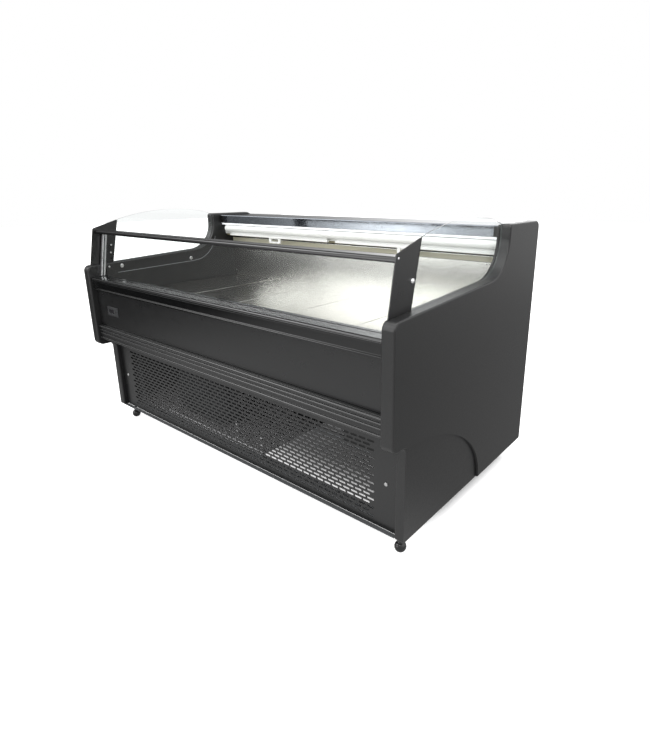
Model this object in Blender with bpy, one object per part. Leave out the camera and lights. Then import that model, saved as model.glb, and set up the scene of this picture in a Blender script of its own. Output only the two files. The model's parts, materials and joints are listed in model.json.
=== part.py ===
"""Refrigerated deli case: a low open self-service case with two moulded end panels.

Metres, +Z up. The origin is on the floor, at the centre of the footprint: X runs along the case,
-Y is the customer's side, and z = 0 is the underside of the levelling feet.
Cross-sections are written as (u, z), where u is the distance behind the end panels' front plane.
"""

import math

import bmesh
import bpy

# Driving dimensions
WIDTH = 1.900
DEPTH = 1.060
PANEL_THICKNESS = 0.048
PANEL_BOTTOM = 0.085
PANEL_TOP = 1.088
STEP_HEIGHT = 0.448  # underside of the panels' overhanging front
LEG_SET_BACK = 0.0875
FRONT_TOP = 0.858
TOP_SLOPE = math.radians(3.0)
UPRIGHT_FRONT = 0.762
SWEEP_RADIUS = 0.145
ARCH_DEPTH = 0.621
ARCH_RECESS = 0.010
GAP = 0.0004
SEAT = 0.0006  # between the side glazing and the panel it stands on
GLASS = 0.006
BRACKET = 0.004
GLAZING_X = 0.911
FRONT_GLASS_END = 0.8945
SHEET = 0.0015
DECK_TOP = 0.7123
PAN_COUNT = 5
GLASS_LEAN = 0.18  # metres back for each metre up
BLIND_AXIS = (0.8275, 1.0005)
BLIND_SPAN = ((-0.845, -0.014), (-0.010, 0.886))
FEET = (("front", 0.892, 0.144), ("rear", 0.860, 1.005))  # row, distance from the middle, u
FOOT_BALL = 0.0215
GRILLE_U = 0.1085
EVAPORATOR_FAN_X = 0.36
EVAPORATOR_FAN_Z = 0.650
CONDENSER_FAN = (-0.355, 0.302, 0.268)  # x, u, z
COMPRESSOR = (0.06, 0.62)  # x, u
DRAIN = (0.52, 0.62)  # x, u
TRAY_RIM = 0.178

INNER = WIDTH / 2 - PANEL_THICKNESS  # inner faces of the end panels
LINER_FACE = 0.8932
FRONT = -DEPTH / 2

COLOURS = {
    "panel black": ((0.025, 0.026, 0.028), 0.55, 0.0),
    "painted black": ((0.02, 0.021, 0.023), 0.35, 0.0),
    "gloss black": ((0.012, 0.014, 0.02), 0.08, 0.0),
    "stainless": ((0.62, 0.61, 0.58), 0.28, 1.0),
    "galvanised": ((0.55, 0.56, 0.56), 0.4, 1.0),
    "aluminium": ((0.75, 0.76, 0.77), 0.3, 1.0),
    "chrome": ((0.85, 0.85, 0.86), 0.08, 1.0),
    "white": ((0.85, 0.86, 0.85), 0.35, 0.0),
    "grey sheet": ((0.12, 0.125, 0.13), 0.4, 0.0),
    "glass": ((0.85, 0.9, 0.9), 0.02, 0.0),
    "copper": ((0.6, 0.28, 0.14), 0.25, 1.0),
    "rubber": ((0.015, 0.015, 0.015), 0.8, 0.0),
    "foam": ((0.5, 0.5, 0.48), 0.6, 0.0),
    "olive": ((0.23, 0.21, 0.13), 0.6, 0.0),
}


# Building blocks


def clear_scene():
    for thing in list(bpy.data.objects):
        bpy.data.objects.remove(thing)


def material(name):
    made = bpy.data.materials.get(name)
    if made:
        return made
    colour, roughness, metallic = COLOURS[name]
    made = bpy.data.materials.new(name)
    made.use_nodes = True
    shader = made.node_tree.nodes["Principled BSDF"]
    shader.inputs["Base Color"].default_value = (*colour, 1.0)
    shader.inputs["Roughness"].default_value = roughness
    shader.inputs["Metallic"].default_value = metallic
    made.diffuse_color = (*colour, 1.0)
    return made


def rounded(points, steps=4):
    """A closed outline from (a, b, radius) corners, with each radius as an arc."""
    outline = []
    for index, (a, b, radius) in enumerate(points):
        if radius == 0:
            outline.append((a, b))
            continue
        before = points[index - 1]
        after = points[(index + 1) % len(points)]
        to_before = math.atan2(before[1] - b, before[0] - a)
        to_after = math.atan2(after[1] - b, after[0] - a)
        opening = (to_after - to_before + math.pi) % (2 * math.pi) - math.pi
        half = opening / 2
        reach = radius / math.sin(abs(half))
        middle = to_before + half
        centre = (a + reach * math.cos(middle), b + reach * math.sin(middle))
        start = to_before - math.copysign(math.pi / 2, half)
        sweep = -math.copysign(math.pi - abs(opening), half)
        for step in range(steps + 1):
            angle = start + sweep * step / steps
            outline.append((centre[0] + radius * math.cos(angle), centre[1] + radius * math.sin(angle)))
    return outline


def arc(centre, radius, first, last, steps):
    """Points on an arc in degrees, both ends included."""
    turn = [math.radians(first + (last - first) * step / steps) for step in range(steps + 1)]
    return [(centre[0] + radius * math.cos(t), centre[1] + radius * math.sin(t)) for t in turn]


def bezier(start, first, second, end, steps):
    """Points on a cubic curve, both ends included."""
    points = []
    for step in range(steps + 1):
        t = step / steps
        shares = ((1 - t) ** 3, 3 * t * (1 - t) ** 2, 3 * t * t * (1 - t), t**3)
        points.append([sum(w * p[i] for w, p in zip(shares, (start, first, second, end))) for i in (0, 1)])
    return points


class Solid:
    """Collects closed bodies in one mesh, then makes the object."""

    def __init__(self):
        self.mesh = bmesh.new()

    def prism(self, outline, low, high, axis="X"):
        """Extrudes an outline: (u, z) along X, (x, z) along Y in u, or (x, u) along Z."""
        place = {
            "X": lambda p, t: (t, FRONT + p[0], p[1]),
            "Y": lambda p, t: (p[0], FRONT + t, p[1]),
            "Z": lambda p, t: (p[0], FRONT + p[1], t),
        }[axis]
        near = [self.mesh.verts.new(place(p, low)) for p in outline]
        far = [self.mesh.verts.new(place(p, high)) for p in outline]
        faces = [self.mesh.faces.new(near), self.mesh.faces.new(far[::-1])]
        for i, vert in enumerate(near):
            j = (i + 1) % len(near)
            faces.append(self.mesh.faces.new((vert, far[i], far[j], near[j])))
        bmesh.ops.recalc_face_normals(self.mesh, faces=faces)
        return self

    def box(self, x, u, z):
        return self.prism([(x[0], z[0]), (x[1], z[0]), (x[1], z[1]), (x[0], z[1])], u[0], u[1], "Y")

    def turned(self, profile, centre, axis="Z", steps=24):
        """Spins (radius, height) points that start and end on the axis."""
        direction = {"X": 0, "Y": 1, "Z": 2}[axis]
        rings = []
        for radius, height in profile:
            ring = []
            for step in range(steps if radius > 0 else 1):
                angle = 2 * math.pi * step / steps
                spot = [0.0, 0.0, 0.0]
                spot[direction] = height
                spot[(direction + 1) % 3] = radius * math.cos(angle)
                spot[(direction + 2) % 3] = radius * math.sin(angle)
                ring.append(self.mesh.verts.new([c + s for c, s in zip(centre, spot)]))
            rings.append(ring)
        faces = []
        for lower, upper in zip(rings, rings[1:]):
            for step in range(steps):
                after = (step + 1) % steps
                corners = []
                for ring, here in ((lower, step), (lower, after), (upper, after), (upper, step)):
                    vert = ring[here if len(ring) > 1 else 0]
                    if vert not in corners:
                        corners.append(vert)
                faces.append(self.mesh.faces.new(corners))
        bmesh.ops.recalc_face_normals(self.mesh, faces=faces)
        return self

    def rod(self, centre, axis, start, end, radius, steps=16):
        return self.turned([(0, start), (radius, start), (radius, end), (0, end)], centre, axis, steps)

    def object(self, name, finish, origin=(0.0, 0.0, 0.0)):
        bmesh.ops.translate(self.mesh, verts=self.mesh.verts, vec=[-c for c in origin])
        data = bpy.data.meshes.new(name)
        self.mesh.to_mesh(data)
        self.mesh.free()
        data.shade_smooth()
        data.set_sharp_from_angle(angle=math.radians(35))
        data.materials.append(material(finish))
        made = bpy.data.objects.new(name, data)
        made.location = origin
        bpy.context.scene.collection.objects.link(made)
        return made


def helper(made):
    """Hides a cutter or a piece that a Boolean joins."""
    made.hide_render = True
    made.display_type = "WIRE"
    return made


def combine(target, others, operation):
    for other in others:
        step = target.modifiers.new(f"{operation.title()} {other.name}", "BOOLEAN")
        step.operation = operation
        step.solver = "EXACT"
        step.object = helper(other)
        other.parent = target
        other.matrix_parent_inverse = target.matrix_basis.inverted()


def soften(target, width, segments=1, angle=50):
    step = target.modifiers.new("Edges", "BEVEL")
    step.width = width
    step.segments = segments
    step.limit_method = "ANGLE"
    step.angle_limit = math.radians(angle)
    return target


def tube_path(name, finish, path, radius):
    """A round tube along a list of (x, u, z) points."""
    data = bpy.data.curves.new(name, "CURVE")
    data.dimensions = "3D"
    data.bevel_depth = radius
    data.bevel_resolution = 1
    data.use_fill_caps = True
    spline = data.splines.new("POLY")
    spline.points.add(len(path) - 1)
    for point, (x, u, z) in zip(spline.points, path):
        point.co = (x, FRONT + u, z, 1)
    data.materials.append(material(finish))
    made = bpy.data.objects.new(name, data)
    bpy.context.scene.collection.objects.link(made)


def mirrored(side, low, high):
    """The X range of a piece on the left (-1) or right (+1) side."""
    return (low, high) if side > 0 else (-high, -low)


SIDES = (("left", -1), ("right", 1))


# End panels and inner liners


def panel_top(u):
    """The height of the end panels' sloping top."""
    return FRONT_TOP + u * math.tan(TOP_SLOPE)


def panel_sweep(inset=0.0):
    """The concave run from that slope into the panels' uprights, or one moved into the panel."""
    centre_u = UPRIGHT_FRONT - SWEEP_RADIUS
    tangent_z = panel_top(centre_u + SWEEP_RADIUS * math.sin(TOP_SLOPE))
    centre = (centre_u, tangent_z + SWEEP_RADIUS * math.cos(TOP_SLOPE))
    return arc(centre, SWEEP_RADIUS + inset, math.degrees(TOP_SLOPE) - 90, 0, 9)


def panel_outline(inset=0.0, bottom=PANEL_BOTTOM):
    """The moulded end panel's side view, or that shape pulled in by inset along its top."""
    front = inset
    top = PANEL_TOP - inset
    corners = [(DEPTH - inset, bottom, 0.012), (DEPTH - inset, top, 0.028 - inset)]
    corners += [(UPRIGHT_FRONT + inset, top, 0.014 - inset / 2)]
    corners += [(u, z, 0) for u, z in reversed(panel_sweep(inset))]
    corners += [(front, FRONT_TOP - inset, 0.028 - inset)]
    return front, corners


def end_panel(label, side):
    front, corners = panel_outline()
    corners += [(front, STEP_HEIGHT, 0.028), (LEG_SET_BACK, STEP_HEIGHT, 0.030)]
    corners += [(LEG_SET_BACK, PANEL_BOTTOM, 0.006)]
    span = mirrored(side, INNER, WIDTH / 2)
    panel = Solid().prism(rounded(corners), *span).object(f"end_panel_{label}", "panel black")
    soften(panel, 0.005, 2, 60)
    height = STEP_HEIGHT - PANEL_BOTTOM
    first = math.degrees(math.acos(0.05 / ARCH_DEPTH))
    quarter = [math.radians(first * step / 16) for step in range(17)]
    arch = [(ARCH_DEPTH * math.cos(t), PANEL_BOTTOM + height * math.sin(t)) for t in quarter]
    arch += [(0.05, PANEL_BOTTOM - 0.03), (ARCH_DEPTH, PANEL_BOTTOM - 0.03)]
    outer = mirrored(side, WIDTH / 2 - ARCH_RECESS, WIDTH / 2 + 0.02)
    combine(panel, [Solid().prism(arch, *outer).object(f"arch_cutter_{label}", "panel black")], "DIFFERENCE")


def inner_liner(label, side):
    _, corners = panel_outline(0.004, 0.552)
    corners[-1] = (0.0895, corners[-1][1] + 0.0047, 0.004)
    corners += [(0.0895, 0.552, 0)]
    span = mirrored(side, LINER_FACE, INNER - GAP)
    Solid().prism(rounded(corners, 3), *span).object(f"inner_liner_{label}", "panel black")


# Cabinet body


def insulated_tub():
    outline = [(0.055, 0.550), (1.045, 0.550), (1.045, 1.0305), (0.955, 1.0305), (0.955, 0.600)]
    outline += [(0.105, 0.600), (0.105, 0.700), (0.085, 0.700), (0.085, 0.797), (0.055, 0.797)]
    half = LINER_FACE - GAP
    tub = soften(Solid().prism(outline, -half, half).object("insulated_tub", "foam"), 0.003)
    holes = Solid().rod((DRAIN[0], FRONT + DRAIN[1], 0), "Z", 0.53, 0.62, 0.0132)
    holes.rod((-0.60, FRONT + 0.90, 0), "Z", 0.53, 0.62, 0.016)
    combine(tub, [holes.object("tub_holes", "foam")], "DIFFERENCE")


def rear_wall_liner():
    outline = [(0.880, 0.6977), (0.902, 0.6977), (0.902, 0.945)]
    outline += [(0.900, 0.945), (0.900, 0.6997), (0.880, 0.6997)]
    Solid().prism(outline, -0.8925, 0.8925).object("rear_wall_liner", "stainless")


def air_discharge_honeycomb():
    outline = [(0.8525, 0.958), (0.9020, 0.9455), (0.9500, 0.9455)]
    outline += [(0.9500, 0.956), (0.9045, 0.956), (0.8545, 0.968)]
    Solid().prism(outline, -0.890, 0.890).object("air_discharge_honeycomb", "olive")


def canopy():
    outer = [(0.815, 1.0335, 0), (0.815, 1.078, 0.004), (1.0560, 1.078, 0.010), (1.0560, 1.020, 0)]
    inner = [(1.0530, 1.020, 0), (1.0530, 1.075, 0.007), (0.8180, 1.075, 0.002), (0.8180, 1.0335, 0)]
    half = LINER_FACE - 0.0007
    Solid().prism(rounded(outer + inner, 3), -half, half).object("canopy_cover", "gloss black")
    step = [(0.8184, 1.0312), (0.8184, 1.0332), (0.8484, 1.0332), (0.8484, 0.9720), (0.8520, 0.9690)]
    step += [(0.8505, 0.9670), (0.8464, 0.9705), (0.8464, 1.0312)]
    Solid().prism(step, -0.892, 0.892).object("canopy_liner", "white")
    light = [(0.8190, 1.0225, 0.002), (0.8290, 1.0225, 0.002), (0.8290, 1.0307, 0), (0.8190, 1.0307, 0)]
    Solid().prism(rounded(light, 2), -0.885, 0.885).object("led_strip", "white")


# Night blinds


def cassette_outline():
    """An open tube with a slot under it, for the blind to leave by."""
    outside = arc(BLIND_AXIS, 0.0180, -70, 250, 18)
    inside = arc(BLIND_AXIS, 0.0165, 250, -70, 18)
    return outside + inside


def night_blind(label, ends):
    low, high = ends
    Solid().prism(cassette_outline(), low, high).object(f"blind_cassette_{label}", "white")
    axis = (0.0, FRONT + BLIND_AXIS[0], BLIND_AXIS[1])
    core = [(0, low + 0.002), (0.0125, low + 0.002), (0.0125, high - 0.002), (0, high - 0.002)]
    roller = Solid().turned(core, axis, "X", 20)
    roller.object(f"blind_roller_{label}", "white", axis)
    u, z = BLIND_AXIS[0], 0.9665
    bar = [(u - 0.0075, z - 0.005, 0.002), (u + 0.0075, z - 0.005, 0.002)]
    bar += [(u + 0.0075, z + 0.005, 0.002), (u - 0.0075, z + 0.005, 0.002)]
    pull = Solid().prism(rounded(bar, 2), low + 0.03, high - 0.02)
    origin = (0.0, FRONT + u, z)
    pull = pull.object(f"blind_pull_bar_{label}", "white", origin)
    centre = (low + high) / 2
    loop = [(centre - 0.045, 0.934, 0.008), (centre + 0.045, 0.934, 0.008)]
    loop += [(centre + 0.045, 0.964, 0), (centre - 0.045, 0.964, 0)]
    grip = Solid().prism(rounded(loop, 3), u - 0.004, u + 0.004, "Y").object(f"grip_{label}", "white")
    finger = [(centre - 0.030, 0.943, 0.005), (centre + 0.030, 0.943, 0.005)]
    finger += [(centre + 0.030, 0.957, 0.005), (centre - 0.030, 0.957, 0.005)]
    hole = Solid().prism(rounded(finger, 2), u - 0.02, u + 0.02, "Y").object(f"grip_hole_{label}", "white")
    combine(pull, [grip], "UNION")
    combine(pull, [hole], "DIFFERENCE")


# Glazing


def lean(u_at_base, height, base=0.802):
    return u_at_base + GLASS_LEAN * (height - base)


def leaning_slab(u_front, depth, low, high):
    return [(lean(u_front, low), low), (lean(u_front + depth, low), low),
            (lean(u_front + depth, high), high), (lean(u_front, high), high)]


def side_glass_outline():
    """Stands on the panel's top from the bracket back to the upright, and arches above it."""
    foot_u = 0.1385
    lower = [(foot_u, panel_top(foot_u) + SEAT)] + panel_sweep(-SEAT)
    return lower + bezier((0.7612, 1.0870), (0.610, 1.141), (0.350, 1.127), (0.1875, 1.0785), 12)


def side_glazing(label, side):
    """The side glass and its bracket, both in the middle of the end panel's thickness."""
    middle = GLAZING_X
    span = mirrored(side, middle - GLASS / 2, middle + GLASS / 2)
    Solid().prism(side_glass_outline(), *span).object(f"side_glass_{label}", "glass")
    plate = [(0.0560, 1.0400, 0.010), (0.1855, 1.0785, 0.003)]
    plate += [(u, panel_top(u) + SEAT, 0.001) for u in (0.1375, 0.0205)]
    span = mirrored(side, middle - BRACKET / 2, middle + BRACKET / 2)
    Solid().prism(rounded(plate, 3), *span).object(f"glass_bracket_{label}", "painted black")


def glass_channel(label, side):
    """A U profile, open towards the middle, that holds one end of the front glass."""
    outer = INNER - 0.0006
    span = mirrored(side, outer - 0.0162, outer)
    channel = Solid().prism(leaning_slab(0.0547, 0.020, 0.806, 1.0135), *span)
    channel = channel.object(f"glass_channel_{label}", "aluminium")
    slot_end = FRONT_GLASS_END + 0.001
    slot = Solid().prism(leaning_slab(0.0615, 0.0062, 0.78, 1.04), *mirrored(side, 0.87, slot_end))
    combine(channel, [slot.object(f"channel_slot_{label}", "aluminium")], "DIFFERENCE")


def front_glazing():
    glass = Solid().prism(leaning_slab(0.0621, 0.005, 0.8045, 1.0132), -FRONT_GLASS_END, FRONT_GLASS_END)
    glass.object("front_glass", "glass")
    rail = [(0.0600, 1.0140, 0.005), (0.1180, 1.0140, 0.005)]
    rail += [(0.1200, 1.0320, 0.008), (0.0640, 1.0320, 0.008)]
    half = GLAZING_X - BRACKET / 2 - GAP
    Solid().prism(rounded(rail, 3), -half, half).object("front_glass_top_rail", "gloss black")


# Front


def bumper():
    outer = [(0.010, 0.7395), (0.010, 0.747), (0.018, 0.7495), (0.018, 0.781), (0.0095, 0.7845)]
    outer += [(0.0095, 0.7910), (0.0120, 0.7925)] + arc((0.0165, 0.7940), 0.0085, 180, 90, 5)
    outer += [(0.0835, 0.8035), (0.0880, 0.7990), (0.0880, 0.7135)]
    inner = [(0.0855, 0.7135), (0.0855, 0.7977), (0.0210, 0.7977), (0.0210, 0.7395)]
    Solid().prism(outer + inner, -(INNER - 0.0007), INNER - 0.0007).object("front_bumper", "painted black")


def fascia():
    outline = [(0.030, 0.5615), (0.030, 0.7385), (0.045, 0.7385), (0.045, 0.7370), (0.0315, 0.7370),
               (0.0315, 0.5630), (0.045, 0.5630), (0.045, 0.5615)]
    sheet = Solid().prism(outline, -(INNER - 0.0007), INNER - 0.0007).object("front_fascia", "painted black")
    window = Solid().box((-0.800, -0.710), (0.02, 0.04), (0.626, 0.660)).object("controller_cutter", "white")
    combine(sheet, [window], "DIFFERENCE")


def trim():
    """Four rounded ribs over a sloping shelf that closes the gap above the grille."""
    outline = [(0.045, 0.5607), (0.016, 0.5607)]
    for height, radius in ((0.5500, 0.0070), (0.5330, 0.0052), (0.5160, 0.0052), (0.4920, 0.0060)):
        outline += arc((0.016, height), radius, 90, 270, 6)
    outline += [(0.016, 0.4840), (0.1070, 0.4520), (0.1070, 0.4542), (0.0190, 0.4866), (0.0190, 0.5580)]
    outline += [(0.045, 0.5580)]
    Solid().prism(outline, -(INNER - 0.0007), INNER - 0.0007).object("lower_trim", "painted black")


def kick_grille():
    """A steel sheet with slotted windows and a flange along its bottom edge, bent forwards."""
    half = INNER - 0.0008
    front, back = GRILLE_U, GRILLE_U + SHEET
    low, high = 0.0868, 0.4505
    outline = [(0.0885, low), (back, low), (back, high), (front, high), (front, low + SHEET)]
    outline += [(0.0885, low + SHEET)]
    sheet = Solid().prism(outline, -half, half).object("front_grille", "painted black")
    windows = Solid()
    columns, rows = 12, 8
    bar_x, bar_z = 0.022, 0.016
    left, bottom = -0.802, 0.115
    step_x = (2 * abs(left) + bar_x) / columns
    step_z = (0.410 + bar_z - bottom) / rows
    for row in range(rows):
        for column in range(columns):
            x = left + column * step_x
            z = bottom + row * step_z
            windows.box((x, x + step_x - bar_x), (front - 0.01, back + 0.01), (z, z + step_z - bar_z))
    combine(sheet, [windows.object("grille_windows", "painted black")], "DIFFERENCE")


def grille_screw(label, side):
    """A domed quarter-turn screw that holds the grille at mid height."""
    head = [(0, 0), (0.008, 0), (0.0065, -0.003), (0, -0.0042)]
    centre = (side * 0.853, FRONT + GRILLE_U - GAP, 0.266)
    Solid().turned(head, centre, "Y", 14).object(f"grille_screw_{label}", "chrome")


def controller():
    """A bezel with a display window and a housing behind it, and three push buttons in their own holes."""
    x, z = -0.755, 0.643
    face = 0.0265
    bezel = Solid().box((x - 0.052, x + 0.052), (face, 0.0297), (z - 0.022, z + 0.022))
    bezel = bezel.object("controller_bezel", "grey sheet")
    housing = Solid().box((x - 0.040, x + 0.040), (0.029, 0.0530), (z - 0.014, z + 0.014))
    combine(bezel, [housing.object("controller_housing", "grey sheet")], "UNION")
    pockets = Solid().box((x - 0.036, x + 0.010), (0.02, face + 0.0008), (z - 0.011, z + 0.011))
    buttons = (("set", x + 0.019), ("down", x + 0.029), ("up", x + 0.039))
    for _, button_x in buttons:
        pockets.rod((button_x, FRONT, z), "Y", 0.02, 0.0320, 0.0042, 14)
    combine(bezel, [pockets.object("controller_pockets", "grey sheet")], "DIFFERENCE")
    for name, button_x in buttons:
        origin = (button_x, FRONT + face, z)
        Solid().rod(origin, "Y", -0.0015, 0.0040, 0.0038, 14).object(f"button_{name}", "rubber", origin)


# Deck


def deck_pans():
    span = 2 * (LINER_FACE - GAP - GLASS - 0.0010) / PAN_COUNT
    start = -span * PAN_COUNT / 2
    for number in range(PAN_COUNT):
        low = start + number * span + 0.0006
        high = start + (number + 1) * span - 0.0006
        lip = [(low, 0.7005, 0), (low, DECK_TOP, 0.003), (high, DECK_TOP, 0.003), (high, 0.7005, 0)]
        lip += [(high - SHEET, 0.7005, 0), (high - SHEET, DECK_TOP - SHEET, 0.0015)]
        lip += [(low + SHEET, DECK_TOP - SHEET, 0.0015), (low + SHEET, 0.7005, 0)]
        pan = Solid().prism(rounded(lip, 2), 0.0890, 0.8992, "Y")
        pan.object(f"deck_pan_{number + 1}", "stainless")


def comb(low, high, base, tip, count, thickness):
    """An outline with fins: (along, height) points."""
    pitch = (high - low - thickness) / (count - 1)
    back = base - math.copysign(0.006, tip - base)
    outline = [(low, back)]
    for fin in range(count):
        start = low + fin * pitch
        outline += [(start, tip), (start + thickness, tip)]
        if fin < count - 1:
            outline += [(start + thickness, base), (start + pitch, base)]
    return outline + [(high, back)]


def evaporator():
    fins = comb(-0.70, 0.70, 0.612, 0.686, 36, 0.004)
    Solid().prism(fins, 0.56, 0.84, "Y").object("evaporator_coil", "aluminium")
    plate = Solid().box((-0.8925, 0.8925), (0.500, 0.5015), (0.6010, 0.6985))
    plate = plate.object("evaporator_fan_plate", "galvanised")
    openings = Solid()
    for _, side in SIDES:
        openings.rod((side * EVAPORATOR_FAN_X, FRONT, EVAPORATOR_FAN_Z), "Y", 0.49, 0.51, 0.043, 28)
    combine(plate, [openings.object("fan_openings", "galvanised")], "DIFFERENCE")


def evaporator_fan(label, side):
    """A fan turning about Y, and its motor on a strap across the opening."""
    x = side * EVAPORATOR_FAN_X
    centre = (x, FRONT + 0.502, EVAPORATOR_FAN_Z)
    motor = Solid().rod(centre, "Y", 0.013, 0.046, 0.018, 18)
    motor = motor.object(f"evaporator_fan_motor_{label}", "rubber")
    strap = [(x - 0.052, 0.5019), (x - 0.046, 0.5019), (x - 0.046, 0.5185), (x + 0.046, 0.5185)]
    strap += [(x + 0.046, 0.5019), (x + 0.052, 0.5019), (x + 0.052, 0.5225), (x - 0.052, 0.5225)]
    strap = Solid().prism(strap, EVAPORATOR_FAN_Z - 0.005, EVAPORATOR_FAN_Z + 0.005, "Z")
    combine(motor, [strap.object(f"fan_strap_{label}", "rubber")], "UNION")
    fan(f"evaporator_fan_{label}", centre, 0.040, 0.014, 0.010, 5)


def fan(name, centre, radius, hub, depth, blades):
    """A hub with twisted blades, turning about Y."""
    wheel = Solid().rod(centre, "Y", -depth / 2, depth / 2, hub, 18).object(name, "painted black", centre)
    group = Solid()
    for blade in range(blades):
        turn = 2 * math.pi * blade / blades
        corners = []
        for reach, spread, twist in ((hub * 0.6, 0.35, 0.30), (radius, 0.42, 0.36)):
            for across in (-1, 1):
                for side in (-1, 1):
                    angle = turn + across * spread
                    along = across * twist * depth + side * depth * 0.07
                    corners.append((centre[0] + reach * math.cos(angle), centre[1] + along,
                                    centre[2] + reach * math.sin(angle)))
        verts = [group.mesh.verts.new(corner) for corner in corners]
        rings = ((0, 1, 3, 2), (4, 6, 7, 5), (0, 2, 6, 4), (1, 5, 7, 3), (0, 4, 5, 1), (2, 3, 7, 6))
        faces = [group.mesh.faces.new([verts[i] for i in ring]) for ring in rings]
        bmesh.ops.recalc_face_normals(group.mesh, faces=faces)
    combine(wheel, [group.object(f"{name}_blades", "painted black")], "UNION")


# Base and machine compartment


def base_frame():
    rail = (0.0855, 0.1155)
    frame = Solid().box((-0.9012, 0.9012), (0.125, 0.155), rail).object("base_frame", "painted black")
    parts = [Solid().box((-0.9012, 0.9012), (0.990, 1.020), rail)]
    for x in (-0.887, 0.0, 0.887):
        parts.append(Solid().box((x - 0.0135, x + 0.0135), (0.130, 1.010), (0.0865, 0.1145)))
    for x in (-0.886, 0.886):
        for u in (0.180, 0.9975):
            parts.append(Solid().box((x - 0.0115, x + 0.0115), (u, u + 0.022), (0.100, 0.5495)))
    for u in (0.500, 0.750):
        parts.append(Solid().box((0.005, 0.880), (u, u + 0.020), (0.0870, 0.1140)))
    joined = [part.object(f"frame_member_{number}", "painted black") for number, part in enumerate(parts)]
    combine(frame, joined, "UNION")
    holes = Solid()
    for _, x, u in FEET:
        for _, side in SIDES:
            holes.rod((side * x, FRONT + u, 0), "Z", 0.05, 0.16, 0.0062, 14)
    combine(frame, [holes.object("foot_holes", "painted black")], "DIFFERENCE")


def levelling_feet():
    """A ball with a flat underside, a collar and a threaded stem, in one moulding."""
    cap = 60  # degrees above and below the ball's middle
    ball = arc((0, FOOT_BALL * math.sin(math.radians(cap))), FOOT_BALL, -cap, cap, 10)
    stem = [(0, 0)] + ball + [(0.0095, 0.0465), (0.0050, 0.0465), (0.0050, 0.150), (0, 0.150)]
    for row, x, u in FEET:
        for label, side in SIDES:
            centre = (side * x, FRONT + u, 0.0)
            Solid().turned(stem, centre, "Z", 20).object(f"levelling_foot_{row}_{label}", "rubber", centre)


def compartment_floor():
    """The base plate under the condensing unit, with an upright lip and two tabs."""
    front, back, low, lip_top = 0.150, 0.975, 0.1163, 0.138
    plate = Solid().box((-0.86, 0.17), (front, back), (low, low + SHEET))
    plate = plate.object("compartment_floor", "galvanised")
    uprights = [Solid().box((-0.55, 0.17), (front, front + SHEET), (low + SHEET / 2, lip_top))]
    for x, u in ((-0.056, 0.19), (0.157, 0.155)):
        uprights.append(Solid().box((x, x + 0.012), (u, u + SHEET), (low + SHEET / 2, 0.200)))
    joined = [part.object(f"plate_upright_{number}", "galvanised") for number, part in enumerate(uprights)]
    combine(plate, joined, "UNION")


def compressor():
    x, u = COMPRESSOR
    body = [(0, 0.1185), (0.070, 0.1185), (0.082, 0.132), (0.084, 0.225)]
    body += [(0.080, 0.262), (0.062, 0.292), (0, 0.304)]
    shell = Solid().turned(body, (x, FRONT + u, 0.0), "Z", 24).object("compressor", "painted black")
    box = Solid().box((x - 0.11, x - 0.04), (u - 0.05, u + 0.05), (0.175, 0.235))
    foot = Solid().box((x - 0.10, x + 0.10), (u - 0.075, u + 0.075), (0.1183, 0.1263))
    joined = [box.object("terminal_box", "painted black"), foot.object("compressor_foot", "painted black")]
    combine(shell, joined, "UNION")


def condenser():
    """A finned coil in front of a fan in its shroud, all on the base plate."""
    x, u, z = CONDENSER_FAN
    fins = comb(x - 0.17, x + 0.17, u - 0.052, u - 0.090, 30, 0.0035)
    Solid().prism(fins, 0.130, 0.405, "Z").object("condenser_coil", "aluminium")
    shroud = Solid().box((x - 0.185, x + 0.185), (u - 0.044, u - 0.002), (0.1182, 0.420))
    shroud = shroud.object("fan_shroud", "grey sheet")
    hollow = Solid().box((x - 0.182, x + 0.182), (u - 0.062, u - 0.005), (0.1212, 0.417))
    throat = Solid().rod((x, FRONT, z), "Y", u - 0.012, u + 0.008, 0.112, 32)
    cutters = [hollow.object("shroud_hollow", "grey sheet"), throat.object("shroud_throat", "grey sheet")]
    combine(shroud, cutters, "DIFFERENCE")
    fan("condenser_fan", (x, FRONT + u, z), 0.106, 0.032, 0.024, 5)
    motor = Solid().rod((x, FRONT, z), "Y", u + 0.018, u + 0.083, 0.034, 20)
    motor = motor.object("condenser_fan_motor", "rubber")
    stand = Solid().box((x - 0.025, x + 0.025), (u + 0.043, u + 0.063), (0.1182, z - 0.018))
    combine(motor, [stand.object("motor_stand", "rubber")], "UNION")


def condensate_tray():
    x, u, floor = (0.36, 0.72), (0.47, 0.80), 0.1148
    wall = 0.003
    tray = Solid().box(x, u, (floor, TRAY_RIM)).object("condensate_tray", "panel black")
    inside = Solid().box((x[0] + wall, x[1] - wall), (u[0] + wall, u[1] - wall), (floor + wall, 0.20))
    combine(tray, [inside.object("tray_hollow", "panel black")], "DIFFERENCE")


def drain_pipe():
    """A flanged tube through the tub's floor that ends just above the tray."""
    end = TRAY_RIM + 0.004
    profile = [(0.0125, end), (0.0125, 0.6005), (0.020, 0.6005)]
    profile += [(0.020, 0.6030), (0.0105, 0.6030), (0.0105, end)]
    pipe = Solid().turned(profile + profile[:1], (DRAIN[0], FRONT + DRAIN[1], 0), "Z", 18)
    bmesh.ops.remove_doubles(pipe.mesh, verts=pipe.mesh.verts, dist=0.00001)
    pipe.object("drain_pipe", "grey sheet")


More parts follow.
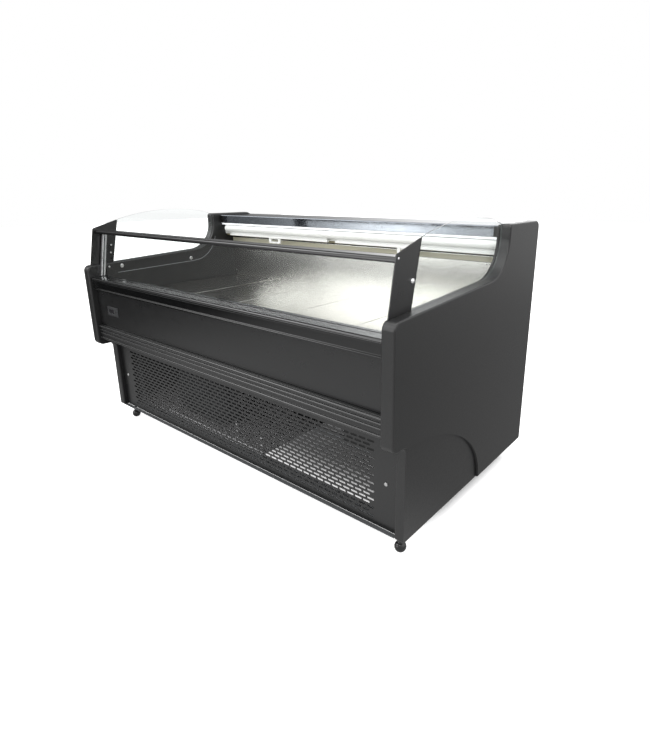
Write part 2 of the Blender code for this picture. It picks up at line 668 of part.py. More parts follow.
def suction_pipe():
    """From the evaporator, down through the tub's floor and back to the compressor."""
    x, u = COMPRESSOR
    path = [(x, u + 0.0845, 0.200), (x, 0.760, 0.200), (x - 0.005, 0.790, 0.215), (x - 0.07, 0.860, 0.300)]
    path += [(-0.40, 0.900, 0.420), (-0.590, 0.900, 0.450), (-0.600, 0.900, 0.470), (-0.600, 0.900, 0.625)]
    path += [(-0.605, 0.885, 0.640), (-0.620, 0.8415, 0.640)]
    tube_path("suction_pipe", "copper", path, 0.005)


def rear_cover():
    half = INNER - 0.0008
    sheet = Solid().box((-half, half), (1.0455, 1.0470), (0.0900, 0.5490))
    sheet = sheet.object("rear_louvre_panel", "painted black")
    slots = Solid()
    for column in range(4):
        for row in range(8):
            x = -0.70 + column * 0.38
            z = 0.170 + row * 0.036
            slots.box((x, x + 0.26), (1.03, 1.06), (z, z + 0.012))
    combine(sheet, [slots.object("louvre_slots", "painted black")], "DIFFERENCE")


def build():
    clear_scene()
    for label, side in SIDES:
        end_panel(label, side)
        inner_liner(label, side)
        side_glazing(label, side)
        glass_channel(label, side)
        evaporator_fan(label, side)
        grille_screw(label, side)
    insulated_tub()
    rear_wall_liner()
    air_discharge_honeycomb()
    canopy()
    for label, ends in zip(("left", "right"), BLIND_SPAN):
        night_blind(label, ends)
    front_glazing()
    bumper()
    fascia()
    trim()
    kick_grille()
    controller()
    deck_pans()
    evaporator()
    base_frame()
    levelling_feet()
    compartment_floor()
    compressor()
    condenser()
    condensate_tray()
    drain_pipe()
    suction_pipe()
    rear_cover()


build()
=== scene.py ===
"""Looks for the refrigerated deli case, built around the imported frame.

Metres, +Z up, as in the frame. Cross-sections are (u, z), where u is the distance behind the end
panels' front plane. A body's places come from the frame's boxes, and its small details are named here.
"""

import json
import math

import bmesh
import bpy
from mathutils import Matrix, Vector

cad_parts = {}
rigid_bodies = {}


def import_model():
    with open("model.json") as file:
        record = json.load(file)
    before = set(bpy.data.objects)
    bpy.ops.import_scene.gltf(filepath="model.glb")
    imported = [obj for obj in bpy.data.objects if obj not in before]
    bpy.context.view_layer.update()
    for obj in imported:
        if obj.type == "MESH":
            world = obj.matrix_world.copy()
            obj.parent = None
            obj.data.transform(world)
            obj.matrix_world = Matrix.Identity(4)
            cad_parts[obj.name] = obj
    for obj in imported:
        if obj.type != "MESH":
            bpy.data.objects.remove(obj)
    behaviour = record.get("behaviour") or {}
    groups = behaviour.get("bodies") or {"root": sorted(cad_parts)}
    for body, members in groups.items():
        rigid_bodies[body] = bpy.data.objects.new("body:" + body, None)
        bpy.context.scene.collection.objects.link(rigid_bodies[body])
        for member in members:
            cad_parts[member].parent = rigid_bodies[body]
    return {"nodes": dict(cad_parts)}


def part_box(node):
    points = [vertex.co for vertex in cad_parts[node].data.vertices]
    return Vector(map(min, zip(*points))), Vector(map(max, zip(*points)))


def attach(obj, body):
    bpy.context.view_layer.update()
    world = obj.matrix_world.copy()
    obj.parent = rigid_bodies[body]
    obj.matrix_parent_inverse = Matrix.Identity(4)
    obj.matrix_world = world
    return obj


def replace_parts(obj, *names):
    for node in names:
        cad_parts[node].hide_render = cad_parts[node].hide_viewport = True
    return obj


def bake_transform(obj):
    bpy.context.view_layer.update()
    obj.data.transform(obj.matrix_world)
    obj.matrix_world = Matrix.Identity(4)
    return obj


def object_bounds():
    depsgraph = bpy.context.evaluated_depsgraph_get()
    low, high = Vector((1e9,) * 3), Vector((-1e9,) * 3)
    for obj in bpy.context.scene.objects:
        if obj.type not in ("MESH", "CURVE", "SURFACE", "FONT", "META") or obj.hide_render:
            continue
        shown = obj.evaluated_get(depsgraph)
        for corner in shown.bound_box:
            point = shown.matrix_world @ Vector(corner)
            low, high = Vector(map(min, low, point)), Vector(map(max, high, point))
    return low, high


for thing in list(bpy.data.objects):
    bpy.data.objects.remove(thing)
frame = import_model()
CAD_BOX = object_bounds()
NODES = frame["nodes"]

FRONT = CAD_BOX[0].y
HALF = CAD_BOX[1].x
SIDES = (("left", -1), ("right", 1))


def u_of(y):
    return y - FRONT


# Outlines and solids


def arc(centre, radius, first, last, steps):
    """Points on an arc in degrees, both ends included."""
    turn = [math.radians(first + (last - first) * step / steps) for step in range(steps + 1)]
    return [(centre[0] + radius * math.cos(t), centre[1] + radius * math.sin(t)) for t in turn]


def rounded(points, steps=6):
    """A closed outline from (a, b, radius) corners, with each radius as an arc."""
    outline = []
    for index, (a, b, radius) in enumerate(points):
        if radius == 0:
            outline.append((a, b))
            continue
        before = points[index - 1]
        after = points[(index + 1) % len(points)]
        to_before = math.atan2(before[1] - b, before[0] - a)
        to_after = math.atan2(after[1] - b, after[0] - a)
        opening = (to_after - to_before + math.pi) % (2 * math.pi) - math.pi
        half = opening / 2
        reach = radius / math.sin(abs(half))
        centre = (a + reach * math.cos(to_before + half), b + reach * math.sin(to_before + half))
        start = math.degrees(to_before - math.copysign(math.pi / 2, half))
        sweep = math.degrees(-math.copysign(math.pi - abs(opening), half))
        outline += arc(centre, radius, start, start + sweep, steps)
    return outline


def bezier(start, first, second, end, steps):
    """Points along a cubic curve, both ends included."""
    points = []
    for step in range(steps + 1):
        t = step / steps
        shares = ((1 - t) ** 3, 3 * t * (1 - t) ** 2, 3 * t * t * (1 - t), t**3)
        points.append([sum(w * p[i] for w, p in zip(shares, (start, first, second, end))) for i in (0, 1)])
    return points


def linked_object(name, mesh, look):
    """An object in the scene made from a bmesh, which it frees."""
    data = bpy.data.meshes.new(name)
    mesh.to_mesh(data)
    mesh.free()
    data.materials.append(look)
    made = bpy.data.objects.new(name, data)
    bpy.context.scene.collection.objects.link(made)
    return made


class Solid:
    """Collects closed bodies in one mesh, then makes the object."""

    def __init__(self):
        self.mesh = bmesh.new()

    def prism(self, outline, low, high, axis="X"):
        """Extrudes an outline: (u, z) along X, (x, z) along Y in u, or (x, u) along Z."""
        place = {
            "X": lambda p, t: (t, FRONT + p[0], p[1]),
            "Y": lambda p, t: (p[0], FRONT + t, p[1]),
            "Z": lambda p, t: (p[0], FRONT + p[1], t),
        }[axis]
        near = [self.mesh.verts.new(place(p, low)) for p in outline]
        far = [self.mesh.verts.new(place(p, high)) for p in outline]
        faces = [self.mesh.faces.new(near), self.mesh.faces.new(far[::-1])]
        for i, vert in enumerate(near):
            j = (i + 1) % len(near)
            faces.append(self.mesh.faces.new((vert, far[i], far[j], near[j])))
        bmesh.ops.recalc_face_normals(self.mesh, faces=faces)
        return self

    def box(self, x, u, z):
        return self.prism([(x[0], z[0]), (x[1], z[0]), (x[1], z[1]), (x[0], z[1])], u[0], u[1], "Y")

    def turned(self, profile, centre, axis="Z", steps=32):
        """Spins (radius, height) points that start and end on the axis."""
        direction = {"X": 0, "Y": 1, "Z": 2}[axis]
        rings = []
        for radius, height in profile:
            ring = []
            for step in range(steps if radius > 0 else 1):
                angle = 2 * math.pi * step / steps
                spot = [0.0, 0.0, 0.0]
                spot[direction] = height
                spot[(direction + 1) % 3] = radius * math.cos(angle)
                spot[(direction + 2) % 3] = radius * math.sin(angle)
                ring.append(self.mesh.verts.new([c + s for c, s in zip(centre, spot)]))
            rings.append(ring)
        faces = []
        for lower, upper in zip(rings, rings[1:]):
            for step in range(steps):
                after = (step + 1) % steps
                corners = []
                for ring, here in ((lower, step), (lower, after), (upper, after), (upper, step)):
                    vert = ring[here if len(ring) > 1 else 0]
                    if vert not in corners:
                        corners.append(vert)
                faces.append(self.mesh.faces.new(corners))
        bmesh.ops.recalc_face_normals(self.mesh, faces=faces)
        return self

    def piece(self, name, look, body="root", slot=None, sharp=40):
        """Makes the object, gives it its material and lets it ride on a body."""
        made = linked_object(name, self.mesh, look)
        made.data.shade_smooth()
        made.data.set_sharp_from_angle(angle=math.radians(sharp))
        if body:
            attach(made, body)
        return made


def mirrored(side, low, high):
    """The X range of a piece on the left (-1) or right (+1) side."""
    return (low, high) if side > 0 else (-high, -low)


def soften(piece, width, segments=2, angle=35):
    step = piece.modifiers.new("Edges", "BEVEL")
    step.width = width
    step.segments = segments
    step.limit_method = "ANGLE"
    step.angle_limit = math.radians(angle)
    step.harden_normals = True
    step.use_clamp_overlap = True
    return piece


def even_shading(piece):
    """Lets large faces set the normals along their edges, so that flat faces look flat."""
    step = piece.modifiers.new("Even shading", "WEIGHTED_NORMAL")
    step.mode = "FACE_AREA"
    step.weight = 100
    step.keep_sharp = True


def cut(piece, cutter):
    """Takes one solid out of a piece and deletes the cutter."""
    step = piece.modifiers.new("Cut", "BOOLEAN")
    step.operation = "DIFFERENCE"
    step.solver = "EXACT"
    step.object = cutter
    apply_modifiers(piece)
    bpy.data.objects.remove(cutter)


def apply_modifiers(piece):
    graph = bpy.context.evaluated_depsgraph_get()
    graph.update()
    baked = bpy.data.meshes.new_from_object(piece.evaluated_get(graph), depsgraph=graph)
    piece.modifiers.clear()
    piece.data = baked


# Materials


class Look:
    """A Principled material with helpers for procedural detail in object coordinates."""

    def __init__(self, name, colour, roughness, metallic=0.0, **inputs):
        self.material = bpy.data.materials.new(name)
        self.material.use_nodes = True
        self.tree = self.material.node_tree
        self.shader = self.tree.nodes["Principled BSDF"]
        self.set("Base Color", (*colour, 1.0))
        self.set("Roughness", roughness)
        self.set("Metallic", metallic)
        for key, value in inputs.items():
            self.set(key.replace("_", " "), value)
        self.colour = colour
        self.height = None
        self.place = self.node("ShaderNodeTexCoord").outputs["Object"]

    def node(self, kind, **settings):
        made = self.tree.nodes.new(kind)
        for key, value in settings.items():
            setattr(made, key, value)
        return made

    def set(self, name, value):
        self.shader.inputs[name].default_value = value

    def link(self, source, target):
        self.tree.links.new(source, target)

    def spread(self, scale):
        """Object coordinates stretched by (x, y, z) factors."""
        mapping = self.node("ShaderNodeMapping")
        mapping.inputs["Scale"].default_value = scale
        self.link(self.place, mapping.inputs["Vector"])
        return mapping.outputs["Vector"]

    def noise(self, scale, detail, stretch=(1, 1, 1)):
        made = self.node("ShaderNodeTexNoise")
        made.inputs["Scale"].default_value = scale
        made.inputs["Detail"].default_value = detail
        self.link(self.spread(stretch), made.inputs["Vector"])
        return made.outputs["Fac"]

    def cells(self, scale):
        made = self.node("ShaderNodeTexVoronoi")
        made.inputs["Scale"].default_value = scale
        self.link(self.place, made.inputs["Vector"])
        return made.outputs["Distance"]

    def remap(self, source, low, high, to_low, to_high):
        made = self.node("ShaderNodeMapRange")
        for key, value in zip(("From Min", "From Max", "To Min", "To Max"), (low, high, to_low, to_high)):
            made.inputs[key].default_value = value
        self.link(source, made.inputs["Value"])
        return made.outputs["Result"]

    def vary_colour(self, source, darker, lighter):
        """Mixes between two tones of the base colour."""
        made = self.node("ShaderNodeMix", data_type="RGBA")
        made.inputs["A"].default_value = (*[c * darker for c in self.colour], 1.0)
        made.inputs["B"].default_value = (*[c * lighter for c in self.colour], 1.0)
        self.link(source, made.inputs["Factor"])
        self.link(made.outputs["Result"], self.shader.inputs["Base Color"])
        return self

    def vary_roughness(self, source, low, high):
        self.link(self.remap(source, 0.3, 0.7, low, high), self.shader.inputs["Roughness"])
        return self

    def bump(self, source, strength, depth):
        """Adds one more layer of relief, depth in metres."""
        made = self.node("ShaderNodeBump")
        made.inputs["Strength"].default_value = strength
        made.inputs["Distance"].default_value = depth
        self.link(source, made.inputs["Height"])
        if self.height:
            self.link(self.height, made.inputs["Normal"])
        self.height = made.outputs["Normal"]
        self.link(self.height, self.shader.inputs["Normal"])
        return self


def moulded_black():
    """Thermoformed black plastic with a fine leather grain."""
    look = Look("moulded_black", (0.0085, 0.0086, 0.0088), 0.37, Specular_IOR_Level=0.5)
    look.vary_colour(look.noise(40.0, 4.0), 0.9, 1.15)
    look.vary_roughness(look.noise(160.0, 3.0), 0.34, 0.41)
    look.bump(look.cells(330.0), 0.35, 0.0004)
    look.bump(look.noise(900.0, 2.0), 0.2, 0.0002)
    return look.material


def satin_black(name="satin_black", tone=0.005, roughness=0.30):
    """Powder coat: a faint orange peel and slow changes of gloss."""
    look = Look(name, (tone, tone * 1.03, tone * 1.08), roughness, Specular_IOR_Level=0.55)
    look.vary_colour(look.noise(20.0, 3.0), 0.9, 1.1)
    look.vary_roughness(look.noise(30.0, 4.0), roughness - 0.03, roughness + 0.03)
    look.bump(look.noise(750.0, 2.0), 0.10, 0.0002)
    return look.material


def gloss_black():
    """Deep polished black film on metal, with a slight roll in its reflections."""
    look = Look("gloss_black", (0.006, 0.007, 0.010), 0.08, IOR=2.9)
    look.set("Specular Tint", (0.86, 0.92, 1.0, 1.0))
    look.vary_roughness(look.noise(14.0, 3.0), 0.05, 0.12)
    look.bump(look.noise(3.0, 1.0, (1, 8, 8)), 0.03, 0.002)
    return look.material


def brushed_steel(name, stretch, roughness):
    """Stainless sheet with fine hairlines along the axis that has the small stretch factor."""
    look = Look(name, (0.64, 0.63, 0.60), roughness, 1.0)
    look.vary_colour(look.noise(160.0, 5.0, stretch), 0.98, 1.01)
    look.vary_roughness(look.noise(240.0, 4.0, stretch), roughness - 0.01, roughness + 0.01)
    return look.material


def galvanised():
    """Zinc coated sheet with its spangle."""
    look = Look("galvanised", (0.80, 0.80, 0.81), 0.42, 0.3)
    look.vary_colour(look.cells(90.0), 0.75, 1.1)
    look.vary_roughness(look.cells(130.0), 0.36, 0.5)
    return look.material


def satin_steel():
    look = Look("satin_steel", (0.46, 0.46, 0.46), 0.30, 1.0)
    look.vary_roughness(look.noise(120.0, 2.0), 0.26, 0.36)
    return look.material


def anodised():
    look = Look("anodised", (0.72, 0.73, 0.74), 0.30, 1.0)
    look.vary_roughness(look.noise(300.0, 3.0, (1, 1, 0.04)), 0.24, 0.40)
    look.bump(look.noise(500.0, 2.0, (1, 1, 0.03)), 0.08, 0.0002)
    return look.material


def chrome():
    look = Look("chrome", (0.82, 0.82, 0.83), 0.09, 1.0)
    look.vary_roughness(look.noise(80.0, 2.0), 0.06, 0.14)
    return look.material


def white_lacquer():
    look = Look("white_lacquer", (0.80, 0.81, 0.79), 0.32)
    look.vary_colour(look.noise(6.0, 2.0), 0.95, 1.02)
    look.vary_roughness(look.noise(40.0, 3.0, (0.2, 1, 1)), 0.27, 0.38)
    look.bump(look.noise(600.0, 2.0), 0.05, 0.0002)
    return look.material


def blind_fabric():
    """A coated woven sheet."""
    look = Look("blind_fabric", (0.82, 0.83, 0.81), 0.6, Sheen_Weight=0.2)
    for direction in ("X", "Y"):
        threads = look.node("ShaderNodeTexWave", bands_direction=direction)
        threads.inputs["Scale"].default_value = 260.0
        look.link(look.place, threads.inputs["Vector"])
        look.bump(threads.outputs["Fac"], 0.12, 0.0002)
    look.vary_colour(look.noise(8.0, 3.0), 0.94, 1.02)
    return look.material


def grey_paint(name="grey_paint", tone=0.115, roughness=0.38):
    look = Look(name, (tone * 0.96, tone, tone * 1.04), roughness)
    look.vary_colour(look.noise(12.0, 3.0), 0.85, 1.15)
    look.bump(look.noise(600.0, 2.0), 0.1, 0.0002)
    return look.material


def black_rubber():
    look = Look("black_rubber", (0.018, 0.018, 0.018), 0.62)
    look.vary_colour(look.noise(40.0, 3.0), 0.8, 1.3)
    look.bump(look.noise(500.0, 3.0), 0.3, 0.0003)
    return look.material


def copper():
    look = Look("copper", (0.60, 0.29, 0.15), 0.28, 1.0)
    look.vary_colour(look.noise(30.0, 4.0), 0.6, 1.05)
    return look.material


def olive_plastic(name="olive_plastic", tone=(0.30, 0.275, 0.17)):
    look = Look(name, tone, 0.5)
    look.vary_colour(look.noise(10.0, 3.0, (0.1, 1, 1)), 0.7, 1.2)
    look.bump(look.noise(400.0, 2.0), 0.1, 0.0002)
    return look.material


def display_lens():
    look = Look("display_lens", (0.022, 0.021, 0.023), 0.08, Coat_Weight=0.5)
    look.vary_roughness(look.noise(60.0, 2.0), 0.05, 0.12)
    return look.material


def glow(name, colour, strength):
    look = Look(name, colour, 0.4)
    look.set("Emission Color", (*colour, 1.0))
    look.set("Emission Strength", strength)
    return look.material


# How square to the pane a face must be to count as its clear face: the cosine of 45 degrees
FACE_LIMIT = 0.7


def clear_glass(name, face):
    """Clear toughened glass. Its faces along the given direction are nearly invisible, its edges dark."""
    look = Look(name, (0.035, 0.040, 0.039), 0.3)
    output = look.tree.nodes["Material Output"]
    through = look.node("ShaderNodeBsdfTransparent")
    through.inputs["Color"].default_value = (0.982, 0.992, 0.990, 1.0)
    shine = look.node("ShaderNodeBsdfGlossy")
    shine.inputs["Roughness"].default_value = 0.03
    away = look.node("ShaderNodeLayerWeight").outputs["Facing"]
    steep = look.node("ShaderNodeMath", operation="POWER")
    steep.inputs[1].default_value = 5.0
    look.link(away, steep.inputs[0])
    pane = look.node("ShaderNodeMixShader")
    look.link(look.remap(steep.outputs["Value"], 0.0, 1.0, 0.02, 0.7), pane.inputs["Fac"])
    look.link(through.outputs["BSDF"], pane.inputs[1])
    look.link(shine.outputs["BSDF"], pane.inputs[2])
    normal = look.node("ShaderNodeNewGeometry").outputs["True Normal"]
    facing = look.node("ShaderNodeVectorMath", operation="DOT_PRODUCT")
    facing.inputs[1].default_value = face
    look.link(normal, facing.inputs[0])
    size = look.node("ShaderNodeMath", operation="ABSOLUTE")
    look.link(facing.outputs["Value"], size.inputs[0])
    chosen = look.node("ShaderNodeMath", operation="GREATER_THAN")
    chosen.inputs[1].default_value = FACE_LIMIT
    look.link(size.outputs["Value"], chosen.inputs[0])
    whole = look.node("ShaderNodeMixShader")
    look.link(chosen.outputs["Value"], whole.inputs["Fac"])
    look.link(look.shader.outputs["BSDF"], whole.inputs[1])
    look.link(pane.outputs["Shader"], whole.inputs[2])
    look.link(whole.outputs["Shader"], output.inputs["Surface"])
    return look.material


FRONT_GLASS_FACE = Vector((0.0, -1.0, 0.18)).normalized()
MOULDED = moulded_black()
SATIN = satin_black()
RAIL_GLOSS = satin_black("rail_black", 0.004, 0.12)
TRIM_BLACK = satin_black("trim_black", 0.005, 0.18)
GLOSS = gloss_black()
WALL_STEEL = brushed_steel("wall_steel", (0.02, 1, 1), 0.26)
PAN_STEEL = brushed_steel("pan_steel", (1, 0.02, 1), 0.2)
GALVANISED = galvanised()
ANODISED = anodised()
CHROME = chrome()
SATIN_STEEL = satin_steel()
WHITE = white_lacquer()
FABRIC = blind_fabric()
GREY = grey_paint()
# Painted light: the grille's flange is a lighter grey than the black sheet it is bent from, for the light
# its top face catches.
FLANGE_PAINTED_LIGHT = grey_paint("flange_painted_light", 0.085, 0.55)
FRAME_GREY = grey_paint("frame_grey", 0.20, 0.6)
BEAD_GREY = grey_paint("bead_grey", 0.20, 0.4)
BEZEL_BLACK = satin_black("bezel_black", 0.03, 0.35)
RUBBER = black_rubber()
FOOT_BLACK = satin_black("foot_black", 0.004, 0.22)
COPPER = copper()
OLIVE = olive_plastic()
BAND = olive_plastic("band_olive", (0.60, 0.58, 0.45))
LENS = display_lens()
LIGHT_STRIP = glow("light_strip", (0.95, 0.97, 1.0), 0.5)
SIDE_GLASS = clear_glass("side_glass", (1.0, 0.0, 0.0))
FRONT_GLASS = clear_glass("front_glass", tuple(FRONT_GLASS_FACE))
TUB_GREY = satin_black("tub_grey", 0.04, 0.4)


# CAD nodes that keep their shape

WELD_DISTANCE = 0.00001
FLAT_ANGLE = math.radians(0.5)
PLAIN_EDGE = 0.0005
FINE_EDGE = 0.0004
FULL_EDGE = 0.0008


def finish_node(name, look, edge):
    """Gives a CAD node its material and soft edges."""
    node = NODES[name]
    node.data.materials.clear()
    node.data.materials.append(look)
    override = {"object": node, "active_object": node, "selected_editable_objects": [node]}
    with bpy.context.temp_override(**override):
        bpy.ops.mesh.customdata_custom_splitnormals_clear()
    node.data.shade_smooth()
    weld = node.modifiers.new("Weld", "WELD")
    weld.merge_threshold = WELD_DISTANCE
    flat = node.modifiers.new("Flat", "DECIMATE")
    flat.decimate_type = "DISSOLVE"
    flat.angle_limit = FLAT_ANGLE
    even_shading(soften(node, edge))


def finish_frame():
    """Every CAD node that isn't replaced by a finer piece."""
    looks = {
        MOULDED: ("inner_liner_left", "inner_liner_right", "condensate_tray"),
        SATIN: ("glass_bracket_left", "glass_bracket_right", "front_fascia", "compressor", "condenser_fan",
                "evaporator_fan_left", "evaporator_fan_right", "rear_louvre_panel"),
        FRAME_GREY: ("base_frame",),
        BEZEL_BLACK: ("controller_bezel",),
        RAIL_GLOSS: ("front_glass_top_rail", "front_bumper"),
        TRIM_BLACK: ("lower_trim",),
        GLOSS: ("canopy_cover",),
        TUB_GREY: ("insulated_tub",),
        WALL_STEEL: ("rear_wall_liner",),
        PAN_STEEL: tuple(f"deck_pan_{number}" for number in range(1, 6)),
        GALVANISED: ("evaporator_fan_plate", "compartment_floor"),
        ANODISED: ("glass_channel_left", "glass_channel_right", "evaporator_coil"),
        WHITE: ("canopy_liner", "blind_cassette_left", "blind_cassette_right", "blind_roller_left",
                "blind_roller_right", "blind_pull_bar_left", "blind_pull_bar_right"),
        LIGHT_STRIP: ("led_strip",),
        GREY: ("fan_shroud", "drain_pipe", "condenser_coil"),
        RUBBER: ("button_set", "button_down", "button_up", "evaporator_fan_motor_left",
                 "evaporator_fan_motor_right", "condenser_fan_motor"),
        SATIN_STEEL: ("grille_screw_left", "grille_screw_right"),
        COPPER: ("suction_pipe",),
        FRONT_GLASS: ("front_glass",),
    }
    edges = dict.fromkeys(("controller_bezel", "front_bumper"), FULL_EDGE)
    edges |= dict.fromkeys(("lower_trim", "front_glass", "front_glass_top_rail", "blind_pull_bar_left",
                            "blind_pull_bar_right"), FINE_EDGE)
    for look, names in looks.items():
        for name in names:
            finish_node(name, look, edges.get(name, PLAIN_EDGE))


# End panels

STEP_HEIGHT = 0.448
LEG_SET_BACK = 0.0875
STEP_RADIUS = 0.028
FRONT_TOP = 0.858
TOP_SLOPE = math.radians(3.0)
UPRIGHT_FRONT = 0.762
SWEEP_RADIUS = 0.145
ARCH_FRONT = 0.05
ARCH_BACK = 0.621
ARCH_STEPS = 40
ARCH_RECESS = 0.010
BEYOND = 0.03
EDGE_ROUNDING = 0.006


def panel_top(u):
    """The height of the end panels' sloping top."""
    return FRONT_TOP + u * math.tan(TOP_SLOPE)


def panel_sweep(lift=0.0):
    """The concave run from that slope into the upright, or one that stands off it."""
    centre_u = UPRIGHT_FRONT - SWEEP_RADIUS
    tangent_z = panel_top(centre_u + SWEEP_RADIUS * math.sin(TOP_SLOPE))
    centre = (centre_u, tangent_z + SWEEP_RADIUS * math.cos(TOP_SLOPE))
    return arc(centre, SWEEP_RADIUS - lift, math.degrees(TOP_SLOPE) - 90, 0, 30)


def panel_outline(low, high):
    """The side view of an end panel between its lowest and highest corner."""
    back = u_of(high.y)
    corners = [(back, low.z, 0.012), (back, high.z, 0.028), (UPRIGHT_FRONT, high.z, 0.014)]
    corners += [(u, z, 0) for u, z in reversed(panel_sweep())]
    corners += [(0, FRONT_TOP, STEP_RADIUS), (0, STEP_HEIGHT, STEP_RADIUS)]
    corners += [(LEG_SET_BACK, STEP_HEIGHT, 0.030), (LEG_SET_BACK, low.z, 0.006)]
    return rounded(corners, 9)


def leg_arch(floor_z):
    """The outline of the leg area, under a quarter ellipse that falls from the step towards the back."""
    height = STEP_HEIGHT - floor_z
    sweep = math.acos(ARCH_FRONT / ARCH_BACK)
    turns = [sweep * step / ARCH_STEPS for step in range(ARCH_STEPS + 1)]
    arch = [(ARCH_BACK * math.cos(t), floor_z + height * math.sin(t)) for t in turns]
    return arch + [(ARCH_FRONT, floor_z - BEYOND), (ARCH_BACK, floor_z - BEYOND)]


def end_panel(label, side):
    """A moulded panel with rounded edges and a leg area sunk below a quarter-ellipse arch."""
    node = f"end_panel_{label}"
    low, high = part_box(node)
    panel = Solid().prism(panel_outline(low, high), low.x, high.x)
    panel = panel.piece(f"moulded_end_{label}", MOULDED, None, "panel_black")
    soften(panel, EDGE_ROUNDING, 4, 60)
    outer = mirrored(side, HALF - ARCH_RECESS, HALF + BEYOND)
    cutter = Solid().prism(leg_arch(low.z), *outer).piece("arch_cutter", MOULDED, None)
    cut(panel, cutter)
    panel.data.shade_smooth()
    panel.data.set_sharp_from_angle(angle=math.radians(30))
    even_shading(panel)
    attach(panel, "root")
    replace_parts(panel, node)


# Glazing: places are (u, z), and heads are (radius, height)

GLASS_FOOT = 0.1385
GLASS_SEAT = 0.0006
GLASS_CROWN = ((0.7612, 1.0870), (0.610, 1.141), (0.350, 1.127), (0.1875, 1.0785))
LINER_FIXINGS = ((0.172, 0.845), (0.588, 0.843))
LINER_SCREW = (0.106, 0.846)
BRACKET_SCREWS = ((0.138, 0.953), (0.131, 0.915))
RAIL_SCREW = (0.066, 1.028)
BRACKET_BOLT = (0.139, 0.955)
FIXING_HEAD = (0.0098, 0.0055)
SCREW_HEAD = (0.0045, 0.0028)
RAIL_SCREW_HEAD = (0.0038, 0.0022)
BOLT_HEAD = (0.0085, 0.0070)
HEAD_RIM = 0.45
BEAD_LINE = ((0.1475, 0.8110), (0.600, 0.8250))
BEAD_CENTRE = (0.607, 0.990)
BEAD_RADIUS = 0.165
BEAD_WIDTH = 0.0025
BEAD_DEPTH = 0.0012


def side_glass(label):
    """Stands on the end panel's top from the bracket back to the upright, and arches above it."""
    low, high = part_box(f"side_glass_{label}")
    lower = [(GLASS_FOOT, panel_top(GLASS_FOOT) + GLASS_SEAT)] + panel_sweep(GLASS_SEAT)
    crown = [(u, min(z, high.z)) for u, z in bezier(*GLASS_CROWN, 48)]
    pane = Solid().prism(lower + crown, low.x, high.x)
    pane = pane.piece(f"side_pane_{label}", SIDE_GLASS, "root", "glass")
    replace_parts(soften(pane, 0.0006, 1), f"side_glass_{label}")


def dome(centre, side, head, name, look, axis="X"):
    """A round head standing on a face whose normal is side times the axis."""
    radius, height = head
    profile = [(0, 0), (radius, 0), (radius, height * HEAD_RIM)]
    for degrees in (20, 40, 60, 78):
        turn = math.radians(degrees)
        profile.append((radius * math.cos(turn), height * (HEAD_RIM + (1 - HEAD_RIM) * math.sin(turn))))
    profile.append((0, height))
    profile = [(r, side * h) for r, h in profile]
    place = (centre[0], FRONT + centre[1], centre[2])
    return Solid().turned(profile, place, axis, 28).piece(name, look, "root", "chrome")


def faces_of(node):
    """How far the inner and the outer face of a side piece are from the middle of the case."""
    low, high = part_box(node)
    return sorted((abs(low.x), abs(high.x)))


def glass_fixings(label, side):
    """Round heads on the liner and the bracket plate, and the bolt and rail screw outside."""
    liner = side * faces_of(f"inner_liner_{label}")[0]
    for number, place in enumerate(LINER_FIXINGS, 1):
        dome((liner, *place), -side, FIXING_HEAD, f"glass_fixing_{label}_{number}", SATIN_STEEL)
    dome((liner, *LINER_SCREW), -side, SCREW_HEAD, f"liner_screw_{label}", SATIN_STEEL)
    inner, outer = [side * face for face in faces_of(f"glass_bracket_{label}")]
    for number, place in enumerate(BRACKET_SCREWS, 1):
        dome((inner, *place), -side, SCREW_HEAD, f"bracket_screw_{label}_{number}", SATIN_STEEL)
    dome((outer, *RAIL_SCREW), side, RAIL_SCREW_HEAD, f"rail_screw_{label}", CHROME)
    dome((outer, *BRACKET_BOLT), side, BOLT_HEAD, f"bracket_bolt_{label}", CHROME)


def bead_edge(lift=0.0):
    """The lower edge of the liner's bead, or a line above it."""
    line = [(u, z + lift) for u, z in BEAD_LINE]
    return line + arc(BEAD_CENTRE, BEAD_RADIUS - lift, -78, -12, 20)


def liner_bead(label, side):
    """A thin step along the liner's inner face that follows the slope and the sweep."""
    face = faces_of(f"inner_liner_{label}")[0]
    outline = bead_edge() + bead_edge(BEAD_WIDTH)[::-1]
    bead = Solid().prism(outline, *mirrored(side, face - BEAD_DEPTH, face))
    bead.piece(f"liner_bead_{label}", BEAD_GREY, "root", "panel_black")


# Kick grille

SLOT_PITCH = (0.0366, 0.01595)
SLOT_SIZE = (0.0300, 0.0080)
SLOT_COLUMNS = 44
SLOT_ROWS = 19
SLOT_CHAMFER = 0.7
LOWEST_SLOTS = 0.119
SHEET = 0.0015
SHADOW_LINE = 0.001


class Sheet:
    """A flat sheet in the XZ plane whose corner points are shared between neighbouring faces."""

    def __init__(self, y):
        self.mesh = bmesh.new()
        self.found = {}
        self.y = y

    def corner(self, x, z):
        key = (round(x * 1e6), round(z * 1e6))
        if key not in self.found:
            self.found[key] = self.mesh.verts.new((x, self.y, z))
        return self.found[key]

    def face(self, *points):
        self.mesh.faces.new([self.corner(x, z) for x, z in points])


